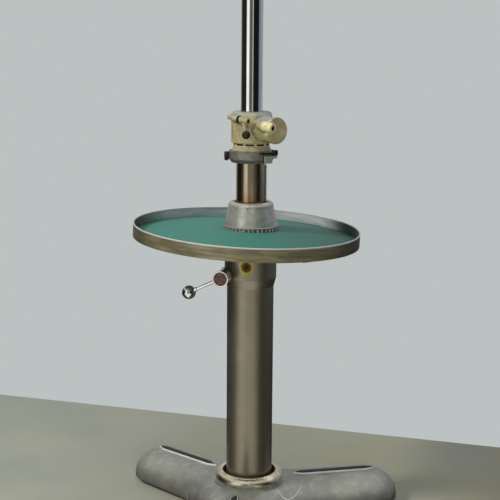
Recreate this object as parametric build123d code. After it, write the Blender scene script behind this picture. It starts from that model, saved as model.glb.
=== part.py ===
from build123d import *
import os
from math import acos, cos, degrees, pi, radians, sin, sqrt, tan

# Studio camera stand. Lengths are millimetres and angles are degrees.
# Z is up, the floor is z = 0 and the column stands on the Z axis.
# The front of the stand, where the crank hub shows its disc, looks along -Y.
# Azimuths are counted from +X towards +Y.

# Base
floor_gap = 12.0
hub_crest_z = 86.5
crest_slope = 1.6
arm_azimuths = (16.0, 136.0, 256.0)
arm_half_width = 80.0
arm_end_centre = 305.0
valley_radius = 230.0
edge_round = 64.0
cast_wall = 9.0
seat_radius = 86.0

# Column and lift
column_radius = 55.5
column_wall = 6.0
column_foot_z = 24.0
head_foot_z = 572.5
head_shoulder_z = 593.5
head_top_z = 686.0
head_radius = 61.5
inner_radius = 35.0
inner_bottom_z = 135.0
inner_top_z = 893.0
slide_gap = 0.08

# Rack and pinion
gear_module = 2.0
pinion_teeth = 15
pressure_angle = 20.0
rack_addendum = 1.7
rack_width = 14.0
pinion_width = 12.4
rack_height = 7.0
drive_azimuth = 165.0
guide_azimuth = -12.0
drive_tip_radius = 34.9
guide_tip_radius = 36.8
crank_z = 601.0

# Crank
boss_radius = 19.0
hub_radius = 19.2
hub_back = 57.0
hub_face = 91.0
crank_length = 87.0
crank_droop = 25.6
ball_radius = 16.4
crank_plane = 83.5

# Tray
tray_lean = 2.6
tray_nod = 0.37
tray_shift = -9.0
tray_rim_radius = 267.5
tray_rim_z = 713.8
tray_rim_height = 32.0
tray_sheet = 1.6
tray_edge_drop = 25.0
tray_rise = 21.0
tray_peak_radius = 85.0
lining_thickness = 3.0
lining_hole_radius = 67.7

# Clamp ring, head and mast
ring_bottom_z = 866.0
ring_top_z = 893.5
ring_radius = 53.2
slit_azimuth = -58.0
collar_top_z = 905.0
body_bottom_z = 912.0
body_top_z = 984.0
body_radius = 48.0
top_slope = 30.0
top_slope_azimuth = -38.0
barrel_azimuth = -53.0
barrel_radius = 30.0
barrel_reach = 96.0
barrel_z = 945.5
mast_radius = 25.5
mast_wall = 3.0
mast_bottom_z = 600.0
mast_top_z = 1472.0
mast_stop_z = 1437.0
mast_stop_width = 5.0
stud_radius = 4.7625
stud_neck = 3.9

FLOOR_UP = (Align.CENTER, Align.CENTER, Align.MIN)


def compass(azimuth, radius, z=0.0):
    """Point at a radius from the column's axis."""
    return Vector(radius * cos(radians(azimuth)), radius * sin(radians(azimuth)), z)


def turned(*points):
    """Solid of revolution about Z through (radius, height) points."""
    return Part() + revolve(Plane.XZ * make_face(Polyline(*points, close=True)), axis=Axis.Z)


def ring(outer, inner, low, high):
    """Plain round ring or bush between two heights."""
    tall = high - low
    return Pos(0, 0, low) * (Cylinder(outer, tall, align=FLOOR_UP) - Cylinder(inner, tall, align=FLOOR_UP))


def bar(start, end, radius, tip=None):
    """Round bar between two points, tapered when a tip radius is given."""
    start = Vector(start)
    run = Vector(end) - start
    frame = Plane(origin=start, z_dir=run)
    if tip is None:
        return frame * Cylinder(radius, run.length, align=FLOOR_UP)
    return frame * Cone(radius, tip, run.length, align=FLOOR_UP)


def round_tail(shape, axis, which, radius):
    """Fillet the round edges that lie first (0) or last (-1) along an axis."""
    rims = shape.edges().filter_by(GeomType.CIRCLE).group_by(axis)[which]
    return fillet(rims, radius)


def save(name, *solids):
    """Write one sub-part, made of one solid or of several like ones."""
    body = solids[0] if len(solids) == 1 else Compound(list(solids))
    export_step(body, "parts/" + name + ".step")


# The cast base

def base_form(inset):
    """Three round-ended arms running into each other, with rolled-over edges."""
    half = arm_half_width - inset
    outline = Sketch()
    for azimuth in arm_azimuths:
        arm = Pos(arm_end_centre / 2, 0) * Rectangle(arm_end_centre, 2 * half)
        arm += Pos(arm_end_centre, 0) * Circle(half)
        outline += Rot(0, 0, azimuth) * arm
    valleys = outline.vertices().sort_by_distance((0, 0, 0))[:3]
    outline = fillet(valleys, valley_radius + inset)
    crest = hub_crest_z - inset
    block = Pos(0, 0, floor_gap) * extrude(outline, crest)
    far = 2 * arm_end_centre
    block -= turned((0, crest), (far, crest - far * tan(radians(crest_slope))), (far, 3 * crest), (0, 3 * crest))
    top = block.faces().sort_by(Axis.Z)[-1]
    return fillet(top.edges().filter_by(lambda e: e.length > 1.0), edge_round - inset)


def base_casting():
    """Hollow iron casting, open below, with ribs, foot bosses and a socket for the column."""
    shell = base_form(0.0) - Pos(0, 0, -1.0) * base_form(cast_wall)
    under = Pos(0, 0, -2.0) * base_form(1.5)
    web = 8.0
    for azimuth in arm_azimuths:
        rib = Pos(arm_end_centre / 2, 0, 0) * Box(arm_end_centre, web, hub_crest_z, align=FLOOR_UP)
        rib -= Box(3 * arm_end_centre, 2 * web, 2 * floor_gap + web, align=FLOOR_UP)
        boss = Pos(arm_end_centre, 0, floor_gap) * Cylinder(24, hub_crest_z, align=FLOOR_UP)
        shell += under & (Rot(0, 0, azimuth) * (rib + boss))
    shell += Pos(0, 0, floor_gap) * Cylinder(seat_radius - 10, 60, align=FLOOR_UP)
    shell += Pos(0, 0, 66) * Cylinder(seat_radius, hub_crest_z - 66, align=FLOOR_UP)
    shell -= Pos(0, 0, column_foot_z) * Cylinder(column_radius, 80, align=FLOOR_UP)
    shell -= Pos(0, 0, 58) * Cylinder(63.5, 80, align=FLOOR_UP)
    shell -= Cylinder(30, 80, align=FLOOR_UP)
    for azimuth in arm_azimuths:
        shell -= Pos(compass(azimuth, arm_end_centre)) * Cylinder(4, 40, align=FLOOR_UP)
        shell -= Pos(compass(azimuth + 60, 42)) * Cylinder(4.5, 40, align=FLOOR_UP)
    return shell


tread_start = 116.0
tread_end = 330.0
tread_width = 18.0
tread_point = 24.0


def tread_frame(azimuth):
    """Frame on an arm's crest: x runs outwards along it, z stands off it."""
    slope = radians(crest_slope)
    out = compass(azimuth, cos(slope), -sin(slope))
    return Plane(origin=(0, 0, hub_crest_z), x_dir=out, z_dir=compass(azimuth, sin(slope), cos(slope)))


def tread_strip(azimuth, edge, low, high, crown=0.0):
    """Long strip with pointed ends along an arm's crest, smaller by an edge all round."""
    middle = (tread_start + tread_end) / 2
    half = tread_width / 2 - edge
    point = (tread_end - tread_start) / 2 - 2 * edge
    shoulder = point - tread_point * half / (tread_width / 2)
    outline = Polyline((-point, 0), (-shoulder, -half), (shoulder, -half), (point, 0), (shoulder, half),
                       (-shoulder, half), close=True)
    strip = extrude(make_face(outline), high - low)
    if crown:
        strip = chamfer(strip.edges().group_by(Axis.Z)[-1], crown)
    return tread_frame(azimuth) * (Pos(middle, 0, low) * strip)


def tread_trim(azimuth):
    """Polished metal tray of a tread strip, with a low rim."""
    return tread_strip(azimuth, 0.0, 0.0, 4.0) - tread_strip(azimuth, 1.8, 1.4, 6.0)


def tread_rubber(azimuth):
    """Rubber tread standing out of its trim."""
    return tread_strip(azimuth, 1.8, 1.4, 6.2, crown=1.6)


def base_pad(azimuth):
    """Rubber foot under an arm's end, dished for its screw."""
    pad = turned((5, 0), (18, 0), (21, 3), (21, floor_gap), (5, floor_gap))
    pad -= Cylinder(9, 5, align=FLOOR_UP)
    return Pos(compass(azimuth, arm_end_centre)) * pad


def pad_screw(azimuth):
    """Cheese-head screw that holds a foot."""
    screw = Pos(0, 0, 1.5) * Cylinder(7.5, 3.5, align=FLOOR_UP) + Pos(0, 0, 5) * Cylinder(3.9, 27, align=FLOOR_UP)
    screw -= Pos(0, 0, 1.5) * Box(18, 1.6, 1.4, align=FLOOR_UP)
    return Pos(compass(azimuth, arm_end_centre)) * screw


def foot_collar():
    """Polished cover ring with a full round shoulder, open round the column."""
    low = hub_crest_z
    outer = [Line((64, low), (79.5, low)), ThreePointArc((79.5, low), (81.4, low + 12.5), (73, low + 22))]
    inner = [ThreePointArc((73, low + 22), (68, low + 24.5), (64, low + 22)), Line((64, low + 22), (64, low))]
    return revolve(Plane.XZ * make_face(outer + inner), axis=Axis.Z)


def column_bolts():
    """Three bolts that pull the column down on its socket."""
    bolts = []
    for azimuth in arm_azimuths:
        bolt = Pos(0, 0, 5) * Cylinder(7, 7, align=FLOOR_UP) + Cylinder(4.4, 44, align=FLOOR_UP)
        bolt -= Pos(0, 0, -1) * Cylinder(9, 6, align=FLOOR_UP)
        bolts.append(Pos(compass(azimuth + 60, 42)) * bolt)
    return bolts


def column_plug():
    """Steel disc pressed into the column's foot, tapped for the bolts."""
    plug = ring(column_radius - column_wall, 22, column_foot_z, column_foot_z + 24)
    for azimuth in arm_azimuths:
        plug -= Pos(compass(azimuth + 60, 42)) * Cylinder(4.4, 100, align=FLOOR_UP)
    return plug


# The column, its head and the crank drive

pitch_radius = gear_module * pinion_teeth / 2
pitch = gear_module * pi
drive_pitch_line = drive_tip_radius - rack_addendum
shaft_offset = drive_pitch_line + pitch_radius
shaft_frame = Plane(
    origin=compass(drive_azimuth, shaft_offset, crank_z),
    x_dir=compass(drive_azimuth, 1.0),
    z_dir=compass(drive_azimuth + 90, 1.0),
)
shaft_radius = 6.0
bush_radius = 9.0
boss_back = -58.0
boss_front = 56.0
bush_inner_end = 38.0


def on_shaft(radius, start, end):
    """Cylinder on the crank shaft's axis; the front of the stand is positive."""
    return shaft_frame * (Pos(0, 0, start) * Cylinder(radius, end - start, align=FLOOR_UP))


def outer_column():
    """Painted tube with a window for the pinion."""
    tube = ring(column_radius, column_radius - column_wall, column_foot_z, 648)
    return tube - on_shaft(boss_radius + 0.2, -60, 60)


def column_head():
    """Casting on the column: coned skirt, pinion boss and the seat of the upper bush."""
    body = turned((0, head_foot_z), (column_radius + 0.6, head_foot_z), (head_radius, head_shoulder_z),
                  (head_radius, head_top_z), (0, head_top_z))
    body += on_shaft(boss_radius, boss_back, boss_front)
    body -= Pos(0, 0, head_foot_z) * Cylinder(column_radius, 648 - head_foot_z, align=FLOOR_UP)
    body -= Pos(0, 0, head_foot_z) * Cylinder(44, 200, align=FLOOR_UP)
    body -= on_shaft(pitch_radius + gear_module + 1.2, -9, 9)
    body -= on_shaft(bush_radius, boss_back - 1, boss_front + 1)
    return body - oiler_bore()


oiler_azimuth = -99.5
oiler_z = 626.0


def oiler_bore():
    """Radial hole for the oiler cup."""
    return bar(compass(oiler_azimuth, 50, oiler_z), compass(oiler_azimuth, 70, oiler_z), 5.0)


def oiler():
    """Brass oil cup with a ball in its mouth, pressed into the head."""
    cup = bar(compass(oiler_azimuth, 56, oiler_z), compass(oiler_azimuth, 62.8, oiler_z), 5.0)
    cup -= bar(compass(oiler_azimuth, 58, oiler_z), compass(oiler_azimuth, 66, oiler_z), 2.6)
    ball = Pos(compass(oiler_azimuth, 60, oiler_z)) * Sphere(2.2)
    return [cup, ball]


def keyway(azimuth, reach, low, high):
    """Slot that lets a rack pass through a bush."""
    slot = Pos(0, 0, low) * Box(2 * reach, rack_width + 1.0, high - low, align=FLOOR_UP)
    slot &= Pos(reach, 0, low) * Box(2 * reach, 2 * reach, high - low, align=FLOOR_UP)
    return Rot(0, 0, azimuth) * slot


def guide_bush(outer, low, high):
    """Bronze bush that the inner column slides in."""
    bush = ring(outer, inner_radius + slide_gap, low, high)
    bush -= keyway(drive_azimuth, drive_tip_radius + 0.8, low, high)
    return bush - keyway(guide_azimuth, guide_tip_radius + 0.8, low, high)


def pinion():
    """Fifteen-tooth involute pinion with its teeth on the drive rack."""
    base_radius = pitch_radius * cos(radians(pressure_angle))
    tip_radius = pitch_radius + gear_module
    root_radius = pitch_radius - 1.25 * gear_module
    play = 0.05 / pitch_radius

    def involute(radius):
        roll = sqrt(max(radius ** 2 / base_radius ** 2 - 1, 0))
        return roll - acos(min(base_radius / radius, 1))

    half_pitch_angle = pi / (2 * pinion_teeth) + involute(pitch_radius) - play
    flank = [base_radius, (base_radius + pitch_radius) / 2, pitch_radius, pitch_radius + 1, tip_radius]
    points = []
    for tooth in range(pinion_teeth):
        middle = pi + tooth * 2 * pi / pinion_teeth
        up = [(root_radius, middle - half_pitch_angle)]
        up += [(radius, middle - half_pitch_angle + involute(radius)) for radius in flank]
        down = [(radius, 2 * middle - angle) for radius, angle in reversed(up)]
        points += [(radius * cos(angle), radius * sin(angle)) for radius, angle in up + down]
    gear = extrude(make_face(Polyline(*points, close=True)), pinion_width) - Cylinder(shaft_radius, 40)
    return shaft_frame * (Pos(0, 0, -pinion_width / 2) * gear)


def pinion_shaft():
    """Steel shaft through both bushes, with a keeper collar at the back."""
    return on_shaft(shaft_radius, boss_back - 1, hub_face - 6) + on_shaft(8.2, bush_inner_end - 5, bush_inner_end - 0.4)


def pinion_bushes():
    """Bronze bushes at both ends of the boss."""
    bushes = []
    for start, end in ((bush_inner_end, boss_front), (boss_back + 2, -bush_inner_end)):
        bushes.append(on_shaft(bush_radius, start, end) - on_shaft(shaft_radius + 0.04, start - 1, end + 1))
    return bushes


def boss_cap():
    """Domed cap that closes the back of the boss."""
    cap = on_shaft(boss_radius - 0.5, boss_back - 6, boss_back)
    cap = fillet(cap.edges().filter_by(GeomType.CIRCLE).sort_by(Axis.Y)[-1], 3)
    return cap - on_shaft(shaft_radius + 1.0, boss_back - 2, boss_back + 1)


def crank_point(along, t):
    """Point on the crank arm's line, at a distance from the shaft."""
    droop = radians(crank_droop)
    return shaft_frame.from_local_coords(Vector(along * cos(droop), along * sin(droop), t))


def crank_hub():
    """Chromed hub with a recess for the disc and a hole for the rod."""
    hub = on_shaft(hub_radius, hub_back, hub_face)
    hub = fillet(hub.edges().filter_by(GeomType.CIRCLE), 1.2)
    hub -= on_shaft(hub_radius - 2.6, hub_face - 2.2, hub_face + 1)
    hub -= on_shaft(shaft_radius, hub_back - 1, hub_face - 6)
    return hub - bar(crank_point(10, crank_plane), crank_point(30, crank_plane), 3.8)


def crank_disc():
    """Red-brown disc let into the hub's face."""
    return on_shaft(hub_radius - 2.6, hub_face - 2.2, hub_face - 1.2)


def crank_rod():
    """Chromed rod, thicker at the hub and turned down to a neck at the ball."""
    thick = bar(crank_point(10, crank_plane), crank_point(46, crank_plane), 3.8)
    slim = bar(crank_point(46, crank_plane), crank_point(66, crank_plane), 3.8, 3.1)
    neck = bar(crank_point(66, crank_plane), crank_point(crank_length - 12, crank_plane), 5.0)
    return thick + slim + neck


def crank_ball():
    """Chromed ball handle, bored for the rod's neck."""
    ball = Pos(crank_point(crank_length, crank_plane)) * Sphere(ball_radius)
    return ball - bar(crank_point(60, crank_plane), crank_point(crank_length - 12, crank_plane), 5.0)


# The lifting inner column

def rack_frame(azimuth):
    """Frame for a rack: x points out from the column's axis and y points up."""
    return Plane(origin=(0, 0, 0), x_dir=compass(azimuth, 1.0), z_dir=compass(azimuth - 90, 1.0))


first_gap = -69
last_gap = 41


def rack_slot(azimuth, tip):
    """Slot in the inner column that a rack is let into."""
    low = crank_z + first_gap * pitch
    high = crank_z + last_gap * pitch
    back = tip - rack_height
    slot = Pos(back + rack_height, (low + high) / 2) * Rectangle(2 * rack_height, high - low)
    return rack_frame(azimuth) * extrude(slot, rack_width / 2, both=True)


def rack(azimuth, tip):
    """Toothed rack with one gap level with the crank shaft at rest."""
    slant = tan(radians(pressure_angle))
    dedendum = 1.2 * gear_module
    tip_half = pitch / 4 - rack_addendum * slant - 0.05
    root_half = pitch / 4 + dedendum * slant - 0.05
    root = tip - rack_addendum - dedendum
    back = tip - rack_height
    points = [(back, crank_z + first_gap * pitch)]
    for gap in range(first_gap, last_gap):
        middle = crank_z + (gap + 0.5) * pitch
        points += [(root, middle - root_half), (tip, middle - tip_half)]
        points += [(tip, middle + tip_half), (root, middle + root_half)]
    points.append((back, crank_z + last_gap * pitch))
    return rack_frame(azimuth) * extrude(make_face(Polyline(*points, close=True)), rack_width / 2, both=True)


def inner_column():
    """Steel tube, slotted for both racks and bored out for the head's spigot."""
    tube = ring(inner_radius, mast_radius + 0.9, inner_bottom_z, inner_top_z)
    tube -= Pos(0, 0, ring_bottom_z) * Cylinder(31, 60, align=FLOOR_UP)
    tube -= Rot(0, 0, slit_azimuth) * Pos(33, 0, ring_bottom_z) * Box(12, 2.4, 60, align=FLOOR_UP)
    return tube - rack_slot(drive_azimuth, drive_tip_radius) - rack_slot(guide_azimuth, guide_tip_radius)


def lower_guide():
    """Bronze guide shoe on the inner column's foot, running in the outer column."""
    return ring(column_radius - column_wall - 0.3, inner_radius, inner_bottom_z, inner_bottom_z + 30)


def ring_frame():
    """Frame at the clamp ring's slit: x points out through it, y runs round to the right."""
    return Plane(origin=(0, 0, 0), x_dir=compass(slit_azimuth, 1.0), z_dir=(0, 0, 1))


lever_pivot = (53.0, 31.0)
knob_azimuth = 187.0
knob_z = 880.5


def clamp_ring():
    """Split ring with a lug and an ear on it for the lever's pin, bored for the knob's screw."""
    body = turned((inner_radius, ring_bottom_z), (46.5, ring_bottom_z), (ring_radius, ring_bottom_z + 9),
                  (ring_radius, ring_top_z - 1), (ring_radius - 1, ring_top_z), (inner_radius, ring_top_z))
    lug = Pos(49.0, 12.0, ring_bottom_z + 1) * Box(16, 23, 17, align=FLOOR_UP)
    lug = fillet(lug.edges().filter_by(Axis.Z).sort_by(Axis.X)[-2:], 3)
    lug += Pos(lever_pivot[0], 25.0, ring_bottom_z + 12) * Box(10, 12, 6, align=FLOOR_UP)
    lug += Pos(*lever_pivot, ring_bottom_z + 12) * Cylinder(5.5, 6, align=FLOOR_UP)
    lug -= Cylinder(inner_radius, 2000)
    body += ring_frame() * lug
    body -= ring_frame() * (Pos(46, 0, ring_bottom_z) * Box(40, 3, 60, align=FLOOR_UP))
    body -= ring_frame() * (Pos(*lever_pivot, ring_bottom_z + 3) * Cylinder(2.5, 40, align=FLOOR_UP))
    return body - bar(compass(knob_azimuth, 36.5, knob_z), compass(knob_azimuth, 70, knob_z), 3.15)


def ring_lever():
    """Black cam lever: round head on a pin, with an arm lying along the ring."""
    low = ring_bottom_z + 18.5
    head = Pos(*lever_pivot, low) * Cylinder(7.4, 12.5, align=FLOOR_UP)
    head = fillet(head.edges().filter_by(GeomType.CIRCLE), 2.2)
    near = Plane(origin=(lever_pivot[0] + 3.2, lever_pivot[1] - 4, low + 6.2), z_dir=(0, -1, 0))
    far = Plane(origin=(lever_pivot[0] + 3.6, -12, low + 6.0), z_dir=(0, -1, 0))
    arm = loft([near * RectangleRounded(5.6, 9.5, 2.2), far * RectangleRounded(3.2, 4.2, 1.4)])
    pin = Pos(*lever_pivot, ring_bottom_z + 12.5) * Cylinder(2.45, 12, align=FLOOR_UP)
    return ring_frame() * (head + arm + pin)


def ring_knob():
    """Black knurled knob on a short screw."""
    frame = Plane(origin=compass(knob_azimuth, ring_radius + 0.4, knob_z), z_dir=compass(knob_azimuth, 1.0))
    knob = Cylinder(10.6, 9.4, align=FLOOR_UP)
    knob = fillet(knob.edges().filter_by(GeomType.CIRCLE), 2.0)
    for step in range(18):
        groove = Pos(11.2, 0, -1) * Cylinder(1.1, 12, align=FLOOR_UP)
        knob -= Rot(0, 0, step * 20) * groove
    return frame * (knob + Pos(0, 0, -14) * Cylinder(3.1, 16, align=FLOOR_UP))


# The tray

def lean(shape):
    """Set a piece of the tray at the tray's own lean, right side and front a little down."""
    pivot = Pos(0, 0, tray_rim_z)
    return pivot * Rot(tray_nod, tray_lean, 0) * pivot.inverse() * shape


tray_edge_z = tray_rim_z - tray_edge_drop
tray_inside = tray_rim_radius - tray_sheet


def tray_floor(depth, thickness, hole):
    """Shallow cone that rises to the middle of the tray, cut round the column."""
    top = tray_edge_z - depth
    peak = top + tray_rise
    disc = turned((0, peak), (tray_peak_radius, peak), (tray_inside, top), (tray_inside, top - thickness),
                  (tray_peak_radius, peak - thickness), (0, peak - thickness))
    return Pos(tray_shift, 0, 0) * disc - Cylinder(hole, 3000)


def tray_pan():
    """Spun metal pan: coned floor, deep outer wall and a rolled lip."""
    low = tray_rim_z - tray_rim_height
    wall = turned((tray_inside, low), (tray_rim_radius, low), (tray_rim_radius, tray_rim_z - 1.5),
                  (tray_inside, tray_rim_z - 1.5))
    lip = Pos(0, 0, tray_rim_z - 1.6) * Torus(tray_rim_radius - 1, 1.6)
    pan = tray_floor(lining_thickness, tray_sheet, lining_hole_radius - 1) + Pos(tray_shift, 0, 0) * (wall + lip)
    return lean(pan)


def tray_lining():
    """Linoleum sheet on the floor of the pan."""
    return lean(tray_floor(0.0, lining_thickness, lining_hole_radius))


spider_hub_radius = 66.6
spider_low = 664.0
spider_azimuths = (-60.0, 60.0, 180.0)


def tray_spider():
    """Three-armed bracket clamped on the head, bent to carry the pan."""
    body = Part() + ring(spider_hub_radius, head_radius, spider_low, 700)
    run = 250.0
    for azimuth in spider_azimuths:
        side = Plane.XZ * make_face(Polyline((64, spider_low), (run, 671), (run, 720), (64, 720), close=True))
        body += Rot(0, 0, azimuth) * extrude(side, 11, both=True)
    body -= Cylinder(head_radius, 3000)
    body -= Pos(0, 0, 700) * Cylinder(68, 50, align=FLOOR_UP)
    low = tray_edge_z - lining_thickness - tray_sheet
    peak = low + tray_rise
    above = turned((0, peak), (tray_peak_radius, peak), (tray_inside, low), (400, low), (400, 900), (0, 900))
    for azimuth in spider_azimuths:
        body -= bar(compass(azimuth + 60, 50, 672), compass(azimuth + 60, 90, 672), 3.2)
    return body - lean(Pos(tray_shift, 0, 0) * above)


def spider_screw(azimuth):
    """Set screw that clamps the bracket on the head, sunk in the bracket's ring."""
    screw = bar(compass(azimuth, head_radius + 0.1, 672), compass(azimuth, spider_hub_radius - 0.3, 672), 3.15)
    return screw - bar(compass(azimuth, 64.2, 672), compass(azimuth, 70, 672), 1.6)


# The cone hub on top of the column head

def cone_hub():
    """Cast cone with a knurled foot and a wide rounded mouth round the inner column."""
    low = head_top_z
    profile = [
        Polyline((39.0, low), (60.0, low), (60.0, 702), (65.4, 702), (65.4, 716.5), (62.8, 718.5), (53.4, 762)),
        ThreePointArc((53.4, 762), (50.0, 771.0), (42.0, 773.5)),
        ThreePointArc((42.0, 773.5), (39.9, 772.9), (39.0, 771.0)),
        Line((39.0, 771.0), (39.0, low)),
    ]
    cone = revolve(Plane.XZ * make_face(profile), axis=Axis.Z)
    for azimuth in cone_screw_azimuths:
        cone -= bar(compass(azimuth, 50, cone_screw_z), compass(azimuth, 70, cone_screw_z), 3.4)
    return cone


cone_screw_azimuths = (-108.0, 12.0, 132.0)
cone_screw_z = 709.5


def cone_screw(azimuth):
    """Slotted set screw in the cone's knurled foot."""
    start = compass(azimuth, 50, cone_screw_z)
    screw = bar(start, compass(azimuth, 65.8, cone_screw_z), 3.4)
    screw = chamfer(screw.edges().filter_by(GeomType.CIRCLE).sort_by_distance((0, 0, cone_screw_z))[-1], 0.5)
    slot = Rot(0, 0, azimuth) * Pos(66, 0, cone_screw_z) * Rot(35, 0, 0) * Box(2.4, 12, 1.0)
    return screw - slot


# The swivelling head

def head_spigot():
    """Steel spigot of the head, turning in the inner column's mouth."""
    return ring(30.95, mast_radius + 0.6, ring_bottom_z + 1, body_bottom_z)


def head_collar():
    """Flared enamelled collar on the spigot."""
    low = ring_top_z + 0.3
    return turned((30.95, low), (45.5, low), (45.2, low + 3), (43, collar_top_z - 2), (42.6, collar_top_z),
                  (30.95, collar_top_z))


def neck_ring():
    """Slotted ring nut between the collar and the head's body."""
    nut = ring(42, 30.95, collar_top_z, body_bottom_z)
    slots = 10
    for step in range(slots):
        slot = Pos(40.5, 0, collar_top_z + 1.2) * Box(5, 20, 4.6, align=FLOOR_UP)
        nut -= Rot(0, 0, step * 360 / slots - 23) * slot
    return nut


screw_radius = 11.6
lever_axis = Vector(0.781, -0.611, -0.13)
lever_centre = Vector(-26.6, -49.0, 968.5)
screw_end = Vector(48.3, -106.0, 953.4)


def on_lever(radius, start, end, tip=None):
    """Cylinder or cone on the mast clamp's axis."""
    return bar(lever_centre + lever_axis * start, lever_centre + lever_axis * end, radius, tip)


def on_screw(radius, start, end):
    """Cylinder on the barrel clamp screw's axis, counted back from its face."""
    return bar(screw_end - lever_axis * start, screw_end - lever_axis * end, radius)


barrel_direction = compass(barrel_azimuth, 1.0)


def clamp_boss(radius):
    """Long round-ended boss of the barrel clamp, cast on the barrel's side."""
    boss = on_screw(radius, 0, 42)
    return fillet(boss.edges().filter_by(GeomType.CIRCLE), 2.0)


def head_housing():
    """Enamelled casting: upright body with a sloped top, sideways barrel and the lugs of both clamps."""
    tall = body_top_z - body_bottom_z
    body = Pos(0, 0, body_bottom_z) * Cylinder(body_radius, tall, align=FLOOR_UP)
    body = round_tail(body, Axis.Z, -1, 10)
    body = round_tail(body, Axis.Z, 0, 2)
    slope = radians(top_slope)
    cut = Plane(origin=compass(top_slope_azimuth, mast_radius + 4.0, body_top_z),
                z_dir=compass(top_slope_azimuth, sin(slope), cos(slope)))
    body -= cut * Box(4 * body_radius, 4 * body_radius, body_radius, align=FLOOR_UP)
    middle = Vector(0, 0, barrel_z)
    body += bar(middle, middle + barrel_direction * (barrel_reach - 7), barrel_radius)
    lug = Plane(origin=lever_centre - lever_axis * 14, x_dir=-Vector(lever_centre.X, lever_centre.Y, 0), z_dir=lever_axis)
    body += on_lever(7.6, -22, -4.8)
    body += lug * (Pos(9, 0, 0) * Box(18, 13.2, 15.6))
    body += clamp_boss(screw_radius)
    body -= Cylinder(mast_radius + 3, 3000)
    body -= Rot(0, 0, 203.6) * Pos(45, 0, 921) * Box(34, 2.4, 37, align=FLOOR_UP)
    body -= on_lever(3.15, -40, 0)
    body -= on_lever(9.2, -4.8, 40)
    body -= on_screw(6.05, -1, 12.3)
    return body - on_screw(4.05, 12, 46)


def barrel_cap():
    """End cap of the barrel, set off by a fine seam."""
    middle = Vector(0, 0, barrel_z)
    start = middle + barrel_direction * (barrel_reach - 7)
    cap = bar(start, middle + barrel_direction * barrel_reach, barrel_radius + 0.4)
    cap = fillet(cap.edges().filter_by(GeomType.CIRCLE).sort_by_distance(start)[-1], 2.4)
    return cap - on_screw(screw_radius + 0.2, -30, 42)


def mast_bush():
    """Bronze bush in the head that the mast slides in."""
    return ring(mast_radius + 3, mast_radius + 0.06, body_bottom_z + 2, body_top_z - 0.5)


def clamp_nut():
    """Round nut on the far end of the mast clamp."""
    return on_lever(5.6, -33, -22.3)


def mast_lever_hub():
    """Enamelled lever hub with a bored end, on the clamp screw."""
    hub = on_lever(7.2, 0.4, 24.5)
    hub = fillet(hub.edges().filter_by(GeomType.CIRCLE), 1.0)
    return hub - on_lever(3.0, 15, 30)


def mast_lever_washer():
    """Black pressure washer between the lug and the lever's hub."""
    return on_lever(8.6, -4.5, 0.4) - on_lever(3.2, -6, 3)


def mast_lever_screw():
    """Clamp screw through the lug."""
    return on_lever(3.1, -22, 0.4)


lever_ball = Vector(-12.2, -62.0, 934.1)
lever_ball_radius = 9.6
lever_root = lever_centre + lever_axis * 11


def mast_lever_arm():
    """Tapered lever arm from the hub to the ball."""
    arm = bar(lever_root, lever_ball, 4.7, 3.4)
    return arm - on_lever(7.2, 0.4, 24.5) - Pos(lever_ball) * Sphere(lever_ball_radius)


def mast_lever_ball():
    """Black ball knob."""
    return Pos(lever_ball) * Sphere(lever_ball_radius)


def barrel_screw():
    """Socket-head screw that locks the barrel, sunk in the clamp's boss."""
    return on_screw(5.98, 0.4, 12) + on_screw(3.98, 12, 45) - on_screw(3.6, -2, 8)


# The mast

def mast_tube():
    """Chromed mast tube with a groove for its stop ring."""
    tube = ring(mast_radius, mast_radius - mast_wall, mast_bottom_z, mast_top_z)
    return tube - ring(mast_radius + 1, mast_radius - 1.2, mast_stop_z, mast_stop_z + mast_stop_width)


def mast_stop():
    """Spring ring in the mast's groove, which keeps the mast from dropping through the head."""
    low = mast_stop_z + 0.1
    stop = ring(mast_radius + 3, mast_radius - 1.1, low, mast_stop_z + mast_stop_width - 0.1)
    return stop - Pos(0, mast_radius, low) * Box(7, 12, 12)


def mast_foot():
    """Plug in the mast's lower end."""
    low = mast_bottom_z
    return turned((0, low), (mast_radius - mast_wall, low), (mast_radius - mast_wall, low + 20), (0, low + 20))


def mast_top():
    """Turned plug with the seat that a camera head stands on."""
    low = mast_top_z
    inside = mast_radius - mast_wall
    plug = turned((0, low - 30), (inside, low - 30), (inside, low), (24.3, low), (24.3, low + 9),
                  (23.3, low + 10), (0, low + 10))
    plug -= Pos(0, 0, low + 9) * Cylinder(stud_radius + 0.5, 2, align=FLOOR_UP)
    return plug - Pos(0, 0, low - 15) * Cylinder(stud_neck, 60, align=FLOOR_UP)


def camera_stud():
    """Camera stud standing out of the seat, pressed in by a thinner neck."""
    stud = Pos(0, 0, mast_top_z + 10) * Cylinder(stud_radius, 18, align=FLOOR_UP)
    stud = chamfer(stud.edges().filter_by(GeomType.CIRCLE).sort_by(Axis.Z)[-1], 0.8)
    return stud + Pos(0, 0, mast_top_z - 15) * Cylinder(stud_neck, 26, align=FLOOR_UP)


os.makedirs("parts", exist_ok=True)

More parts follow.
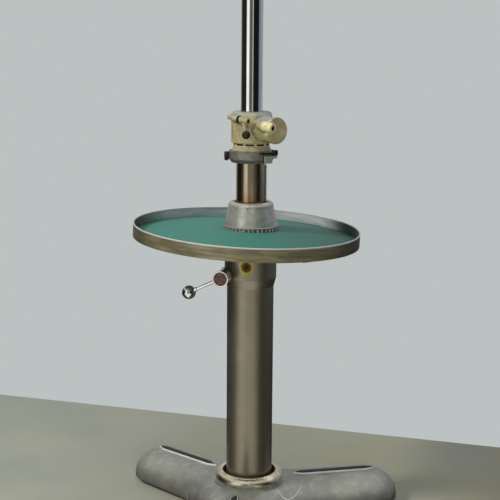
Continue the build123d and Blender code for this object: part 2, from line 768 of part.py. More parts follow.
save("base_casting", base_casting())
save("base_pads", *[base_pad(azimuth) for azimuth in arm_azimuths])
save("pad_screws", *[pad_screw(azimuth) for azimuth in arm_azimuths])
save("tread_trims", *[tread_trim(azimuth) for azimuth in arm_azimuths])
save("tread_rubbers", *[tread_rubber(azimuth) for azimuth in arm_azimuths])
save("foot_collar", foot_collar())
save("column_bolts", *column_bolts())
save("column_plug", column_plug())
save("outer_column", outer_column())
save("column_head", column_head())
save("oiler", *oiler())
save("upper_bush", guide_bush(44, 650, head_top_z))
save("cone_bush", guide_bush(39, head_top_z, 712))
save("pinion", pinion())
save("pinion_shaft", pinion_shaft())
save("pinion_bushes", *pinion_bushes())
save("boss_cap", boss_cap())
save("crank_hub", crank_hub())
save("crank_disc", crank_disc())
save("crank_rod", crank_rod())
save("crank_ball", crank_ball())
save("inner_column", inner_column())
save("drive_rack", rack(drive_azimuth, drive_tip_radius))
save("guide_rack", rack(guide_azimuth, guide_tip_radius))
save("lower_guide", lower_guide())
save("clamp_ring", clamp_ring())
save("ring_lever", ring_lever())
save("ring_knob", ring_knob())
save("tray_pan", tray_pan())
save("tray_lining", tray_lining())
save("tray_spider", tray_spider())
save("spider_screws", *[spider_screw(azimuth + 60) for azimuth in spider_azimuths])
save("cone_hub", cone_hub())
save("cone_screws", *[cone_screw(azimuth) for azimuth in cone_screw_azimuths])
save("head_spigot", head_spigot())
save("head_collar", head_collar())
save("neck_ring", neck_ring())
save("head_housing", head_housing())
save("barrel_cap", barrel_cap())
save("mast_bush", mast_bush())
save("clamp_nut", clamp_nut())
save("mast_lever_hub", mast_lever_hub())
save("mast_lever_washer", mast_lever_washer())
save("mast_lever_screw", mast_lever_screw())
save("mast_lever_arm", mast_lever_arm())
save("mast_lever_ball", mast_lever_ball())
save("barrel_screw", barrel_screw())
save("mast_tube", mast_tube())
save("mast_stop", mast_stop())
save("mast_foot", mast_foot())
save("mast_top", mast_top())
save("camera_stud", camera_stud())
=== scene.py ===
import math
import bpy
from mathutils import Matrix, Vector


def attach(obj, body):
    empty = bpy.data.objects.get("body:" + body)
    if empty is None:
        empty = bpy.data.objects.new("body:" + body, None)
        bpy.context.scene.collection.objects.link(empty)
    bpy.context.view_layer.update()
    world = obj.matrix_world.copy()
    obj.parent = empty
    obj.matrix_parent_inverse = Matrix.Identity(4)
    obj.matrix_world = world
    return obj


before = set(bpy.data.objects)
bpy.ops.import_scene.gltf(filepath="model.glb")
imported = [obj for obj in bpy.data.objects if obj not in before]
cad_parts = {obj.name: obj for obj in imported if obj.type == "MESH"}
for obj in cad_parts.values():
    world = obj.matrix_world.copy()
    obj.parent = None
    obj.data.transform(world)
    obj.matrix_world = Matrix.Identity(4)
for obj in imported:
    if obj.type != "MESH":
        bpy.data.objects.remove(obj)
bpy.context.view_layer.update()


# The studio round the stand: a sealed concrete floor that ends at a pale wall.
# The wall stands a little askew, so the floor stops along a slanting line.

FLOOR_SIDE = 2.6
FLOOR_FRONT_Y = -2.3
WALL_LEFT_Y = 1.433
WALL_RIGHT_Y = -0.105


def srgb(code):
    """Linear colour of a six-digit sRGB hex value."""
    shades = [int(code[i:i + 2], 16) / 255 for i in (0, 2, 4)]
    return tuple(s / 12.92 if s < 0.04045 else ((s + 0.055) / 1.055) ** 2.4 for s in shades) + (1.0,)


def add(tree, kind, feeds=(), stops=(), **options):
    """Add a node, set its options and colour stops, and feed its sockets with values or other sockets."""
    made = tree.nodes.new(kind)
    for option, value in options.items():
        setattr(made, option, value)
    for socket, value in dict(feeds).items():
        if isinstance(value, bpy.types.NodeSocket):
            tree.links.new(value, made.inputs[socket])
        else:
            made.inputs[socket].default_value = value
    for number, (position, colour) in enumerate(stops):
        if number > 1:
            made.color_ramp.elements.new(1.0)
        made.color_ramp.elements[-1 if number else 0].position = position
        made.color_ramp.elements[-1 if number else 0].color = srgb(colour)
    return made


def times(tree, first, second):
    """Product of two numbers."""
    return add(tree, "ShaderNodeMath", {0: first, 1: second}, operation="MULTIPLY").outputs[0]


def ramp(tree, value, start, end, low=0.0, high=1.0):
    """Number that goes from low to high while a value goes from start to end."""
    return add(tree, "ShaderNodeMapRange", {"Value": value, "From Min": start, "From Max": end,
                                            "To Min": low, "To Max": high}).outputs[0]


def tones(tree, value, *stops):
    """Colour read off a row of (position, hex) stops."""
    return add(tree, "ShaderNodeValToRGB", {"Fac": value}, stops=stops).outputs["Color"]


def mix(tree, amount, under, over):
    """Colour under, covered by a colour over it by an amount; each is a socket or a hex value."""
    under, over = (srgb(shade) if isinstance(shade, str) else shade for shade in (under, over))
    return add(tree, "ShaderNodeMix", {0: amount, 6: under, 7: over}, data_type="RGBA").outputs[2]


def noise(tree, place, scale, detail, **feeds):
    """Fractal noise, a number about 0.5."""
    made = add(tree, "ShaderNodeTexNoise", {"Vector": place, "Scale": scale, "Detail": detail, **feeds})
    return made.outputs["Fac"]


def clouds(tree, place, size_mm, start, end, detail=4.0):
    """Soft patches of about a size in millimetres: 0 below the start of the noise, 1 above its end."""
    return ramp(tree, noise(tree, place, scale=1000 / size_mm, detail=detail), start, end)


def parts_of(tree, vector):
    """X, Y and Z of a vector, by name."""
    return add(tree, "ShaderNodeSeparateXYZ", {"Vector": vector}).outputs


def blank(name):
    """A new material with an empty node tree, and its Object coordinates."""
    material = bpy.data.materials.new(name)
    material.use_nodes = True
    material.node_tree.nodes.clear()
    return material, material.node_tree, add(material.node_tree, "ShaderNodeTexCoord").outputs["Object"]


def surface(tree, colour, rough, metallic=0.0, normal=None):
    """Close a material's tree with its one shader."""
    shader = add(tree, "ShaderNodeBsdfPrincipled", {"Base Color": colour, "Roughness": rough, "Metallic": metallic})
    if normal is not None:
        tree.links.new(normal, shader.inputs["Normal"])
    add(tree, "ShaderNodeOutputMaterial", {"Surface": shader.outputs["BSDF"]})


# Sealed concrete: a thin glaze on cement, so it is cloudy, grey-green on the
# left and yellower on the right, and faintly glossy.
TINT_REACH = 0.9

concrete, tree, place = blank("sealed_concrete")
across = ramp(tree, parts_of(tree, place)["X"], -TINT_REACH, TINT_REACH)
cement = tones(tree, across, (0.0, "8A948E"), (1.0, "9A9678"))
surface(tree, mix(tree, clouds(tree, place, 260, 0.3, 0.7, 6.0), cement, "9A9D90"), rough=0.55)

floor_mesh = bpy.data.meshes.new("floor")
corners = [(-FLOOR_SIDE, FLOOR_FRONT_Y, 0.0), (FLOOR_SIDE, FLOOR_FRONT_Y, 0.0),
           (FLOOR_SIDE, WALL_RIGHT_Y, 0.0), (-FLOOR_SIDE, WALL_LEFT_Y, 0.0)]
floor_mesh.from_pydata(corners, [], [(0, 1, 2, 3)])
floor_mesh.materials.append(concrete)
floor = bpy.data.objects.new("floor", floor_mesh)
bpy.context.scene.collection.objects.link(floor)
floor.visible_glossy = False

# The eye sees the pale wall. Polished metal sees the hall in front of the
# stand: dark, with a tall bright doorway on the left, a lit floor and a pale
# roof. Each entry is a bearing from the camera's side in degrees, left
# negative, and a grey. The heights are those of the mirrored ray, where the
# hall has faded into the floor or the roof.
HALL = ((-180, "A8A8A8"), (-140, "8C8882"), (-128, "292724"), (-60, "201E1B"), (-55, "FFFFFF"), (-31, "FFFFFF"),
        (-26, "5F5D56"), (2, "5D5B52"), (6, "BAB5AB"), (11, "BAB5AB"), (15, "121517"), (72, "14171B"),
        (80, "777F87"), (180, "A5A9AD"))
LIT_FLOOR = ((-180, "25251F"), (-84, "25251F"), (-60, "CFCBC0"), (-30, "EFECE2"), (22, "E0DCD0"), (50, "35332B"),
             (100, "1E1E1A"), (180, "25251F"))
ROOF_HEX = "C6C8C2"
FLOOR_HEIGHTS = (-0.15, -0.2)
ROOF_HEIGHTS = (0.3, 0.6)
WALL_HEX = "BCC2C1"
SOFT_HEX = "EEF1F2"
WALL_LEVEL = 1.0
SOFT_LEVEL = 0.2
MIRRORED_LEVEL = 1.35

world = bpy.data.worlds.new("studio")
bpy.context.scene.world = world
world.use_nodes = True
tree = world.node_tree
tree.nodes.clear()
way = parts_of(tree, add(tree, "ShaderNodeTexCoord").outputs["Generated"])
bearing = add(tree, "ShaderNodeMath", {0: way["X"], 1: times(tree, way["Y"], -1.0)}, operation="ARCTAN2")
turn = ramp(tree, bearing.outputs[0], -math.pi, math.pi)
hall, lit_floor = (tones(tree, turn, *[((angle + 180) / 360, grey) for angle, grey in greys])
                   for greys in (HALL, LIT_FLOOR))
hall_and_floor = mix(tree, ramp(tree, way["Z"], *FLOOR_HEIGHTS), hall, lit_floor)
mirrored = mix(tree, ramp(tree, way["Z"], *ROOF_HEIGHTS), hall_and_floor, ROOF_HEX)
path = add(tree, "ShaderNodeLightPath").outputs
wall = add(tree, "ShaderNodeBackground", {"Color": srgb(WALL_HEX), "Strength": WALL_LEVEL})
soft = add(tree, "ShaderNodeBackground", {"Color": srgb(SOFT_HEX), "Strength": SOFT_LEVEL})
seen = add(tree, "ShaderNodeBackground", {"Color": mirrored, "Strength": MIRRORED_LEVEL})
glossy = add(tree, "ShaderNodeMixShader", {"Fac": path["Is Glossy Ray"], 1: soft.outputs[0], 2: seen.outputs[0]})
eye = add(tree, "ShaderNodeMixShader", {"Fac": path["Is Camera Ray"], 1: glossy.outputs[0], 2: wall.outputs[0]})
add(tree, "ShaderNodeOutputWorld", {"Surface": eye.outputs[0]})

# Three soft lamps, each a place, a point aimed at, a width and height, a power
# and a tint: the doorway high on the left, the ceiling, and the hall in front.
# Polished metal mirrors the hall drawn above and not the lamps.
LAMPS = (("doorway", (-2.6, -1.0, 2.9), (0.0, 0.0, 0.6), 0.5, 0.5, 112.0, "FFFAF2"),
         ("ceiling", (0.2, -0.9, 3.4), (0.0, 0.0, 0.3), 2.2, 2.2, 30.0, "F4F8FF"),
         ("hall", (0.15, -3.7, 0.9), (0.0, 0.0, 0.5), 1.0, 1.2, 58.0, "FFF9F0"))
for name, at, aim, wide, tall, power, tint in LAMPS:
    light = bpy.data.lights.new(name, "AREA")
    light.shape = "RECTANGLE"
    light.size = wide
    light.size_y = tall
    light.energy = power
    light.color = srgb(tint)[:3]
    lamp = bpy.data.objects.new(name, light)
    lamp.location = at
    lamp.visible_glossy = False
    lamp.rotation_mode = "QUATERNION"
    lamp.rotation_quaternion = (Vector(aim) - Vector(at)).to_track_quat("-Z", "Y")
    bpy.context.scene.collection.objects.link(lamp)

# The camera stands 2.8 m in front of the stand and 1.2 m up, tipped down 11
# degrees, and leans half a degree.
EYE = Vector((0.0, -2.7551, 1.191))
PITCH = math.radians(10.991)
YAW = math.radians(-0.0295)
ROLL = math.radians(0.4322)
FOCAL_PIXELS = 1183.87
PHOTO_PIXELS = 500
SENSOR_MM = 36.0

camera_data = bpy.data.cameras.new("camera")
camera_data.sensor_width = SENSOR_MM
camera_data.lens = FOCAL_PIXELS * SENSOR_MM / PHOTO_PIXELS
camera = bpy.data.objects.new("camera", camera_data)
look = Vector((math.sin(YAW) * math.cos(PITCH), math.cos(YAW) * math.cos(PITCH), -math.sin(PITCH)))
level = Vector((math.cos(YAW), -math.sin(YAW), 0.0))
upright = level.cross(look)
rightwards = level * math.cos(ROLL) + upright * math.sin(ROLL)
upwards = upright * math.cos(ROLL) - level * math.sin(ROLL)
turned_camera = Matrix((rightwards, upwards, -look)).transposed().to_4x4()
camera.matrix_world = Matrix.Translation(EYE) @ turned_camera
bpy.context.scene.collection.objects.link(camera)
bpy.context.scene.camera = camera
bpy.context.scene.view_settings.view_transform = "Standard"


# The cast base: three hollow iron arms, filled, rubbed down and sprayed with a
# grey metallic paint. Shoes have scuffed the tops of the arms and left long
# light scratches, and the paint is darker low down.

def coat(material, *nodes):
    """Give CAD nodes their material."""
    for name in nodes:
        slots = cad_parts[name].data.materials
        slots.clear()
        slots.append(material)


# Most of a fractal noise lies between these two values.
NOISE_SPAN = (0.3, 0.7)

# Widths of the long and the short scratches, on the scale of that noise.
LONG_MARK = 0.0014
SHORT_MARK = 0.003


def hairlines(tree, place, spread_mm, width, start, end):
    """Long bent scratches: level lines of a broad noise, kept where a second noise is high."""
    broad = noise(tree, place, scale=1000 / spread_mm, detail=1.0, Distortion=0.6)
    level = add(tree, "ShaderNodeMath", {0: broad, 1: 0.5, 2: width}, operation="COMPARE").outputs[0]
    return times(tree, level, clouds(tree, place, spread_mm / 3, start, end))


def bump(tree, height, strength, depth):
    """Normal of a fine relief of a depth in metres."""
    return add(tree, "ShaderNodeBump", {"Height": height, "Strength": strength, "Distance": depth}).outputs["Normal"]


def sprayed(name, low, high, cloud_mm, rough, metallic, scuffs, scratch_mm, scratch_hex="C3C2B8", unmarked=0.54,
            dark_foot_height=None):
    """Sprayed metallic paint with clouds, orange peel, light scuffs, scratches and a foot darker up to a height."""
    material, tree, place = blank(name)
    patch = noise(tree, place, scale=1000 / cloud_mm, detail=6.0, Roughness=0.62)
    scuffed = times(tree, clouds(tree, place, cloud_mm / 8, 0.52, 0.75, 8.0), scuffs)
    colour = mix(tree, scuffed, tones(tree, patch, (0.3, low), (0.7, high)), scratch_hex)
    if dark_foot_height:
        near_floor = ramp(tree, parts_of(tree, place)["Z"], dark_foot_height, 0.3 * dark_foot_height)
        colour = mix(tree, times(tree, near_floor, 0.7), colour, "5C5A53")
    long_marks = hairlines(tree, place, scratch_mm, LONG_MARK, unmarked, unmarked + 0.08)
    short_marks = hairlines(tree, place, scratch_mm / 5, SHORT_MARK, unmarked + 0.1, unmarked + 0.18)
    marks = add(tree, "ShaderNodeMath", {0: long_marks, 1: short_marks}, operation="MAXIMUM").outputs[0]
    orange_peel = bump(tree, noise(tree, place, scale=400.0, detail=2.0), strength=0.12, depth=0.0005)
    marked = mix(tree, marks, colour, scratch_hex)
    surface(tree, marked, ramp(tree, patch, *NOISE_SPAN, *rough), metallic, orange_peel)
    return material


base_paint = sprayed("sprayed_metallic_paint_base", "7C7F7A", "A1A39B", cloud_mm=150, rough=(0.3, 0.44), metallic=0.5,
                     scuffs=0.25, scratch_mm=420, scratch_hex="D0D0C8", unmarked=0.5, dark_foot_height=0.05)
coat(base_paint, "base_casting")


# The feet and the treads: moulded black rubber. A foot is held by a plated
# screw under each arm, and each tread lies in a pointed tray of bright strip.

def moulded(name, low, high, grain_mm, rough):
    """Moulded black rubber or phenolic, with dust in its grain."""
    material, tree, place = blank(name)
    dust = clouds(tree, place, grain_mm * 12, 0.35, 0.7, 8.0)
    grain = bump(tree, noise(tree, place, scale=1000 / grain_mm, detail=3.0), strength=0.2, depth=0.0003)
    surface(tree, tones(tree, dust, (0.0, low), (1.0, high)), ramp(tree, dust, 0.0, 1.0, *rough), normal=grain)
    return material


rubber = moulded("moulded_black_rubber", "121211", "2A2925", grain_mm=1.5, rough=(0.55, 0.8))
coat(rubber, "base_pads", "tread_rubbers")

# Tool lines run along the axes that have the small scales: round a piece that
# was turned about an upright axis.
TURNED_ROUND = (0.1, 0.1, 1.0)


def stretched(tree, place, scale):
    """Coordinates scaled apart along X, Y and Z, so that a pattern on them runs long."""
    return add(tree, "ShaderNodeMapping", {"Vector": place, "Scale": scale}).outputs[0]


def turned_metal(name, low, high, stain_mm, rough, lines=0.0, along=(1.0, 1.0, 1.0), stain=0.0, stain_hex="5B4222",
                 metallic=1.0):
    """Bare metal: soft stains, fine tool lines, and darker spots."""
    material, tree, place = blank(name)
    patch = noise(tree, place, scale=1000 / stain_mm, detail=6.0)
    spots = times(tree, clouds(tree, place, stain_mm / 6, 0.55, 0.72, 6.0), stain)
    colour = mix(tree, spots, tones(tree, patch, (0.32, low), (0.62, high)), stain_hex)
    tool = noise(tree, stretched(tree, place, along), scale=1000.0, detail=2.0)
    surface(tree, colour, ramp(tree, patch, *NOISE_SPAN, rough[1], rough[0]), metallic,
            bump(tree, tool, strength=lines, depth=0.0002))
    return material


# The strip is painted near white: partly bright aluminium, partly a painted reflection of the pale wall.
drawn_strip = turned_metal("drawn_aluminium_strip_with_painted_reflection", "DADCD8", "F0F2EE", stain_mm=20, rough=(0.45, 0.55), lines=0.1,
                           along=(1.0, 1.0, 0.05), metallic=0.3)
coat(drawn_strip, "tread_trims")

machined = turned_metal("machined_steel", "6F6E6A", "9C9B97", stain_mm=12, rough=(0.28, 0.42), lines=0.2,
                        along=TURNED_ROUND)
coat(machined, "pad_screws", "column_bolts", "column_plug")


# The collar round the column's foot: a spun ring, nickelled over brass. Shoes
# keep its shoulder bright, and brown polish and tarnish stay round the top.

nickel = turned_metal("tarnished_nickel_plate", "C4B89E", "E9E3D6", stain_mm=24, rough=(0.22, 0.36), lines=0.2,
                      along=(0.05, 0.05, 1.0), stain=0.8, stain_hex="7E5F3C")
coat(nickel, "foot_collar")


# The fixed column and its head: a steel tube and a casting that steps out over
# it, both sprayed olive grey. The back boss cap and the tray's bracket match.

column_paint = sprayed("sprayed_metallic_paint_column", "807B6E", "8C8676", cloud_mm=240, rough=(0.32, 0.38),
                       metallic=0.85, scuffs=0.05, scratch_mm=900)
coat(column_paint, "outer_column", "boss_cap", "tray_spider")
coat(machined, "spider_screws")


def distance(tree, place, point):
    """Distance from a fixed point."""
    return add(tree, "ShaderNodeVectorMath", {0: place, 1: point}, operation="DISTANCE").outputs["Value"]


def reopen(material):
    """A made material's tree, its Object coordinates, its shader's colour input and what feeds that."""
    tree = material.node_tree
    place = next(node for node in tree.nodes if node.type == "TEX_COORD").outputs["Object"]
    shader = next(node for node in tree.nodes if node.type == "BSDF_PRINCIPLED")
    colour = shader.inputs["Base Color"]
    return tree, place, colour, colour.links[0].from_socket


# On the head the paint is rubbed through round the oil cup, down to the yellow
# primer, where the can's spout and a thumb have worn it. Nearer the cup, old
# oil has blackened the primer.
OIL_CUP = (-0.0103, -0.0612, 0.626)
PRIMER_EDGE = (0.0215, 0.0195)
OILY_EDGE = (0.0185, 0.0125)
EDGE_WANDER = 0.006

head_paint = column_paint.copy()
head_paint.name = "sprayed_paint_rubbed_at_oiler"
tree, place, colour_input, painted = reopen(head_paint)
ragged = noise(tree, place, scale=160.0, detail=4.0)
reach = add(tree, "ShaderNodeMath", {0: ragged, 1: EDGE_WANDER, 2: distance(tree, place, OIL_CUP)},
            operation="MULTIPLY_ADD").outputs[0]
rubbed = mix(tree, ramp(tree, reach, *PRIMER_EDGE), painted, "A3933F")
tree.links.new(mix(tree, ramp(tree, reach, *OILY_EDGE), rubbed, "41381F"), colour_input)
coat(head_paint, "column_head")

# All the bearings are turned bronze, brown with old oil. The oil cup is bronze
# too, nearly black from its own oil.
bronze = turned_metal("turned_bearing_bronze", "7A5A2C", "B48E52", stain_mm=10, rough=(0.3, 0.42), lines=0.2,
                      along=TURNED_ROUND, stain=0.5, stain_hex="3A2A14")
coat(bronze, "upper_bush", "cone_bush", "pinion_bushes", "lower_guide", "mast_bush")

oily_bronze = turned_metal("oil_blackened_bronze", "2A2213", "4C3C20", stain_mm=5, rough=(0.3, 0.45))
coat(oily_bronze, "oiler")


# The crank: a turned hub, a rod and a ball handle, all chromed, with a
# red-brown disc let into the hub. Fingers leave the chrome faintly smeared.

chrome = turned_metal("chrome_plate", "C9CACA", "D8D9D9", stain_mm=60, rough=(0.05, 0.1))
coat(chrome, "crank_hub", "crank_rod", "crank_ball")

disc, tree, place = blank("red_brown_lacquer")
faded = clouds(tree, place, 5, 0.35, 0.65)
surface(tree, tones(tree, faded, (0.0, "38221E"), (1.0, "6E4A3E")), rough=0.42)
coat(disc, "crank_disc")

# The pinion, its shaft and both racks are cut steel, dark with grease.
geared = turned_metal("greased_cut_steel", "3B3730", "7B766A", stain_mm=6, rough=(0.25, 0.4), lines=0.15,
                      along=(1.0, 1.0, 0.2), stain=0.6, stain_hex="1B1712")
coat(geared, "pinion", "pinion_shaft", "drive_rack", "guide_rack")


# The tray: a spun sheet pan. Its wall was brushed and lacquered: the lacquer
# has gone brown outside and the inside is plain grey metal. A painted highlight
# lightens the rolled lip, and painted shade darkens the wall at left and right.

TRAY_AXIS_X = -0.009
TRAY_RIM_Z = 0.7138
TRAY_LEAN = (math.radians(0.37), math.radians(2.6), 0.0)
WALL_MIDDLE = 0.2667
LIP_DEPTH = 0.0034
DARK_MIDDLE_X = -0.01
DARK_ENDS = (0.195, 0.255)
DARKEST = 0.9


def off_axis(tree, vector):
    """Distance from the upright axis."""
    parts = parts_of(tree, vector)
    flat = add(tree, "ShaderNodeCombineXYZ", {"X": parts["X"], "Y": parts["Y"]})
    return add(tree, "ShaderNodeVectorMath", {0: flat.outputs[0]}, operation="LENGTH").outputs["Value"]


def over_limit(tree, value, limit):
    """1 where a value is over a limit, and 0 elsewhere."""
    return add(tree, "ShaderNodeMath", {0: value, 1: limit}, operation="GREATER_THAN").outputs[0]


def on_tray(tree, place):
    """Coordinates from the middle of the leaning tray's rim."""
    level_place = add(tree, "ShaderNodeMapping", {"Vector": place, "Location": (0.0, 0.0, TRAY_RIM_Z),
                                                  "Rotation": TRAY_LEAN}, vector_type="TEXTURE").outputs[0]
    return add(tree, "ShaderNodeVectorMath", {0: level_place, 1: (TRAY_AXIS_X, 0.0, 0.0)},
               operation="SUBTRACT").outputs[0]


tray_metal, tree, place = blank("brushed_tray_sheet")
centred = on_tray(tree, place)
parts = parts_of(tree, centred)
outside = over_limit(tree, off_axis(tree, centred), WALL_MIDDLE)
on_lip = over_limit(tree, parts["Z"], -LIP_DEPTH)
stains = noise(tree, stretched(tree, centred, (1.0, 1.0, 8.0)), scale=12.0, detail=7.0, Roughness=0.65)
# The wall's ends, outside and in, are darkened: a painted shade.
sideways = add(tree, "ShaderNodeMath", {0: parts["X"], 1: DARK_MIDDLE_X}, operation="SUBTRACT").outputs[0]
either_side = add(tree, "ShaderNodeMath", {0: sideways}, operation="ABSOLUTE").outputs[0]
painted_end_shade = ramp(tree, either_side, *DARK_ENDS, high=DARKEST)
brown = mix(tree, painted_end_shade, tones(tree, stains, (0.3, "4E4A33"), (0.5, "6C6750"), (0.7, "8C866C")), "2B2B1D")
grey = mix(tree, painted_end_shade, tones(tree, stains, (0.3, "989D9E"), (0.7, "C4C8CA")), "31382F")
# The lip is painted light: a painted highlight.
colour = mix(tree, on_lip, mix(tree, outside, grey, brown), "B9BDB9")
brushed = noise(tree, stretched(tree, centred, (0.02, 0.02, 1.0)), scale=1500.0, detail=2.0)
surface(tree, colour, rough=ramp(tree, stains, *NOISE_SPAN, 0.4, 0.3), metallic=0.3,
        normal=bump(tree, brushed, strength=0.15, depth=0.0003))
coat(tray_metal, "tray_pan")

# The tray's lining: sea-green linoleum, a matt sheet of linseed, cork and
# pigment, so it is evenly mottled, wiped in faint arcs and darker at the wall.
# It is painted darker towards the right: a painted shadow.
LINING_SIDE = 0.25
WALL_DARKENING = (0.252, 0.266)

linoleum, tree, place = blank("sea_green_linoleum")
centred = on_tray(tree, place)
# Darker towards the right: a painted shadow across the lining.
painted_shadow_across = ramp(tree, parts_of(tree, centred)["X"], -LINING_SIDE, LINING_SIDE)
sheet = tones(tree, painted_shadow_across, (0.0, "2B6A5E"), (0.5, "347266"), (1.0, "153F39"))
flecked = mix(tree, times(tree, clouds(tree, place, 3, 0.35, 0.65, 5.0), 0.14), sheet, "6A9F94")
wiped = times(tree, clouds(tree, place, 120, 0.45, 0.75, 5.0), 0.22)
cloudy = mix(tree, wiped, flecked, "3E6660")
darker_at_wall = times(tree, ramp(tree, off_axis(tree, centred), *WALL_DARKENING), 0.65)
cuts = times(tree, hairlines(tree, place, 90, 0.0022, 0.52, 0.66), 0.35)
colour = mix(tree, cuts, mix(tree, darker_at_wall, cloudy, "26413A"), "9CBDB4")
grain = noise(tree, place, scale=900.0, detail=2.0)
surface(tree, colour, rough=ramp(tree, wiped, 0.0, 1.0, 0.62, 0.75),
        normal=bump(tree, grain, strength=0.08, depth=0.0003))
coat(linoleum, "tray_lining")


# The cone hub on top of the column: a turned aluminium casting with small
# blowholes. Three bright set screws lock it, and its foot has a row of ribs
# for the fingers. Between them the foot is darker in patches, partly dirt and
# partly a painted shade in the gap round the foot.

CONE_FOOT = (0.702, 0.7165)
CONE_FOOT_RADIUS = 0.0654
FOOT_DIRT_AND_SHADE_HEIGHTS = (0.7185, 0.7165)

cast, tree, place = blank("turned_cast_aluminium")
patch = noise(tree, place, scale=45.0, detail=8.0, Roughness=0.7)
holes = add(tree, "ShaderNodeTexVoronoi", {"Vector": place, "Scale": 150.0}).outputs["Distance"]
hole_size = times(tree, clouds(tree, place, 9, 0.56, 0.6), 0.24)
pits = add(tree, "ShaderNodeMath", {0: holes, 1: hole_size}, operation="LESS_THAN").outputs[0]
pitted = mix(tree, pits, tones(tree, patch, (0.3, "8C8D86"), (0.7, "BCBCB4")), "302D29")
# The foot is darkened in patches: partly dirt, partly a painted shade in the gap round it.
on_foot = ramp(tree, parts_of(tree, place)["Z"], *FOOT_DIRT_AND_SHADE_HEIGHTS)
dirt_and_shade = times(tree, times(tree, clouds(tree, place, 16, 0.2, 0.45), on_foot), 0.75)
tool = noise(tree, stretched(tree, place, (0.03, 0.03, 1.0)), scale=1400.0, detail=2.0)
dug = add(tree, "ShaderNodeMath", {0: pits, 1: -2.0, 2: tool}, operation="MULTIPLY_ADD").outputs[0]
surface(tree, mix(tree, dirt_and_shade, pitted, "3E352D"), rough=ramp(tree, patch, *NOISE_SPAN, 0.42, 0.3), metallic=0.6,
        normal=bump(tree, dug, strength=0.3, depth=0.0003))
coat(cast, "cone_hub")

bright_screw = turned_metal("bright_screw_steel", "D8D6CF", "F2F0EA", stain_mm=4, rough=(0.2, 0.32), lines=0.1,
                            along=TURNED_ROUND)
coat(bright_screw, "cone_screws")

# The ribs were rolled into the casting's foot: low bars with rounded backs,
# all alike, set round the foot so that each screw falls between two of them.
# Hands have rubbed their backs bright over the darker foot.
FRONT_SCREW_DEGREES = -108
RIBS = 39
RIB_SIZES = {"Count": RIBS, "Foot Radius": CONE_FOOT_RADIUS, "Stand": 0.0016, "Width": 0.0042, "Length": 0.0122,
             "Middle Height": sum(CONE_FOOT) / 2, "Phase": math.radians(FRONT_SCREW_DEGREES + 180 / RIBS)}
rubbed_ribs = turned_metal("rubbed_aluminium_ribs", "8B8A80", "D3D3CB", stain_mm=9, rough=(0.3, 0.45), lines=0.1,
                           along=(1.0, 1.0, 0.1), stain=0.5, stain_hex="4A4037", metallic=0.6)

rib_tree = bpy.data.node_groups.new("ribbed_foot", "GeometryNodeTree")
for name, size in RIB_SIZES.items():
    kind = "NodeSocketInt" if isinstance(size, int) else "NodeSocketFloat"
    rib_tree.interface.new_socket(name, in_out="INPUT", socket_type=kind)
rib_tree.interface.new_socket("Geometry", in_out="OUTPUT", socket_type="NodeSocketGeometry")
sizes = add(rib_tree, "NodeGroupInput").outputs
half_width = times(rib_tree, sizes["Width"], 0.5)
rod = add(rib_tree, "GeometryNodeMeshCylinder", {"Vertices": 12, "Side Segments": 1, "Fill Segments": 1,
                                                 "Radius": half_width, "Depth": sizes["Length"]})
squash = add(rib_tree, "ShaderNodeMath", {0: sizes["Stand"], 1: half_width}, operation="DIVIDE")
flatten = add(rib_tree, "ShaderNodeCombineXYZ", {"X": squash.outputs[0], "Y": 1.0, "Z": 1.0})
bar = add(rib_tree, "GeometryNodeTransform", {"Geometry": rod.outputs["Mesh"], "Scale": flatten.outputs[0]})
circle = add(rib_tree, "GeometryNodeMeshCircle", {"Vertices": sizes["Count"], "Radius": sizes["Foot Radius"]})
lift = add(rib_tree, "ShaderNodeCombineXYZ", {"Z": sizes["Middle Height"]})
spin = add(rib_tree, "ShaderNodeCombineXYZ", {"Z": sizes["Phase"]})
stations = add(rib_tree, "GeometryNodeTransform", {"Geometry": circle.outputs["Mesh"], "Rotation": spin.outputs[0],
                                                   "Translation": lift.outputs[0]})
where = parts_of(rib_tree, add(rib_tree, "GeometryNodeInputPosition").outputs[0])
facing = add(rib_tree, "ShaderNodeMath", {0: where["Y"], 1: where["X"]}, operation="ARCTAN2")
turned_to = add(rib_tree, "ShaderNodeCombineXYZ", {"Z": facing.outputs[0]})
ribs = add(rib_tree, "GeometryNodeInstanceOnPoints", {"Points": stations.outputs["Geometry"],
                                                      "Instance": bar.outputs["Geometry"],
                                                      "Rotation": turned_to.outputs[0]})
solid_ribs = add(rib_tree, "GeometryNodeRealizeInstances", {"Geometry": ribs.outputs["Instances"]})
dressed = add(rib_tree, "GeometryNodeSetMaterial", {"Geometry": solid_ribs.outputs["Geometry"],
                                                    "Material": rubbed_ribs})
add(rib_tree, "NodeGroupOutput", {"Geometry": dressed.outputs["Geometry"]})

seed = bpy.data.objects.new("rib_seed", bpy.data.meshes.new("rib_seed"))
bpy.context.scene.collection.objects.link(seed)
modifier = seed.modifiers.new("ribbed_foot", "NODES")
modifier.node_group = rib_tree
for item in rib_tree.interface.items_tree:
    if item.name in RIB_SIZES:
        modifier[item.identifier] = RIB_SIZES[item.name]
grown = seed.evaluated_get(bpy.context.evaluated_depsgraph_get())
cone_ribs = bpy.data.objects.new("cone_ribs", bpy.data.meshes.new_from_object(grown))
bpy.data.objects.remove(seed)
bpy.context.scene.collection.objects.link(cone_ribs)
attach(cone_ribs, "stand")


# The lifting column: a ground steel tube with a toothed rack let into each
# side. A film of oil has dried golden brown on it where it stands over the
# cone; lower down, the bush has wiped it thin.

STAIN_HEIGHTS = (0.8, 0.768)
WIPED_HEIGHTS = (0.69, 0.75)
WIPED_STAIN = 0.25
FULL_STAIN = 0.85

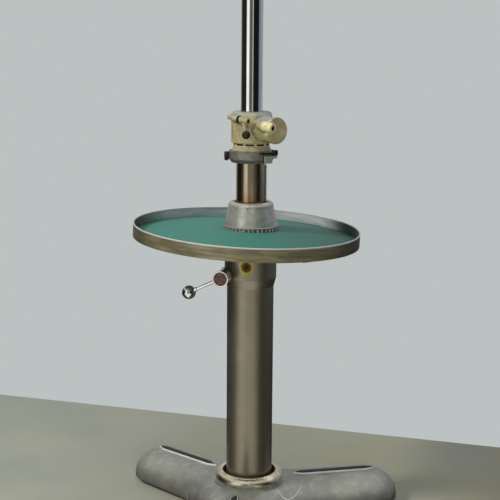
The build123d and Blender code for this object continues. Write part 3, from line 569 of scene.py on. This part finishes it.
ground, tree, place = blank("ground_oiled_steel")
streak = noise(tree, stretched(tree, place, (1.0, 1.0, 0.12)), scale=60.0, detail=6.0, Roughness=0.6)
height = parts_of(tree, place)["Z"]
dried = times(tree, ramp(tree, height, *STAIN_HEIGHTS), ramp(tree, height, *WIPED_HEIGHTS, WIPED_STAIN, FULL_STAIN))
colour = mix(tree, dried, tones(tree, streak, (0.3, "7F7056"), (0.65, "AA9F88")), "96681F")
surface(tree, colour, rough=ramp(tree, streak, *NOISE_SPAN, 0.26, 0.15), metallic=1.0)
coat(ground, "inner_column")


# The clamp ring: cast iron, turned and left dull grey, with brighter filed
# faces on its lug, pulled shut across its slit by a black cam lever. A black
# knob on its left holds a stop screw.

RING_RADIUS = 0.0532
LUG_STEP = 0.0005

ring_grey = turned_metal("turned_grey_iron", "66655E", "88867C", stain_mm=14, rough=(0.4, 0.52), lines=0.6,
                         along=(0.03, 0.03, 1.0), stain=0.4, stain_hex="37352F", metallic=0.6)
tree, place, colour_input, turned = reopen(ring_grey)
on_lug = over_limit(tree, off_axis(tree, place), RING_RADIUS + LUG_STEP)
tree.links.new(mix(tree, on_lug, turned, "B4B2A8"), colour_input)
coat(ring_grey, "clamp_ring")

phenolic = moulded("moulded_black_phenolic", "090909", "141312", grain_mm=0.8, rough=(0.3, 0.5))
coat(phenolic, "ring_lever", "ring_knob", "mast_lever_ball", "mast_lever_washer")


# The head: an aluminium casting in stoved cream enamel, as are its collar,
# end cap and clamp lever. Faces that look up are greyed, a painted shade and
# reflection. Hands have rubbed the front to an orange-brown, the barrel clamp's
# boss is lighter, and small chips show the metal. The bore in the lever's hub
# is painted dark, a painted shade in the hole.

BOSS_END = (0.041, -0.1, 0.955)
BOSS_LIGHTER = (0.024, 0.0168)
HUB_END = (-0.0075, -0.064, 0.9653)
HUB_BORE_SHADE = (0.0052, 0.0046)
FACES_UP = (0.15, 0.85)

enamel, tree, place = blank("stoved_cream_enamel")
patch = noise(tree, place, scale=28.0, detail=6.0, Roughness=0.65)
# Upward faces turn grey: a painted shade and reflection.
facing_up = parts_of(tree, add(tree, "ShaderNodeNewGeometry").outputs["Normal"])["Z"]
painted_shade_on_top = mix(tree, ramp(tree, facing_up, *FACES_UP, high=0.9), tones(tree, patch, (0.3, "746D4B"), (0.65, "A69F79")),
             "7D8786")
browned = mix(tree, times(tree, clouds(tree, place, 24, 0.56, 0.7, 7.0), 0.55), painted_shade_on_top, "A87C4E")
lighter_boss = mix(tree, ramp(tree, distance(tree, place, BOSS_END), *BOSS_LIGHTER), browned, "C6BF92")
chipped = mix(tree, times(tree, clouds(tree, place, 5, 0.66, 0.68, 3.0), 0.8), lighter_boss, "4A463D")
# Dark round the hub's bore: a painted shade in the hole.
colour = mix(tree, ramp(tree, distance(tree, place, HUB_END), *HUB_BORE_SHADE), chipped, "2A2013")
surface(tree, colour, rough=ramp(tree, patch, *NOISE_SPAN, 0.34, 0.18),
        normal=bump(tree, patch, strength=0.1, depth=0.0008))
coat(enamel, "head_collar", "head_housing", "barrel_cap", "mast_lever_hub", "mast_lever_arm", "clamp_nut")

# The ring nut in the head's neck is dark steel, painted near black for the
# steel and for a painted shade in its groove, with cream paint on the posts
# between its slots.
POST_RADIUS = 0.0405

neck, tree, place = blank("dark_steel_and_groove_shade_with_painted_posts")
grime = clouds(tree, place, 8, 0.3, 0.7)
cream = tones(tree, grime, (0.0, "A39C7A"), (1.0, "C2BC9A"))
black = tones(tree, grime, (0.0, "1E1A14"), (1.0, "3A342A"))
on_post = over_limit(tree, off_axis(tree, place), POST_RADIUS)
surface(tree, mix(tree, on_post, black, cream), rough=0.45)
coat(neck, "neck_ring")

# The spigot and the clamps' screws are machined steel.
coat(machined, "head_spigot", "mast_lever_screw", "barrel_screw")


# The mast: a drawn steel tube, ground and chromed, closed by a plug at the
# foot and by the camera's seat and stud at the top, with a spring stop ring.

coat(chrome, "mast_tube", "mast_top", "camera_stud")
coat(machined, "mast_foot", "mast_stop")
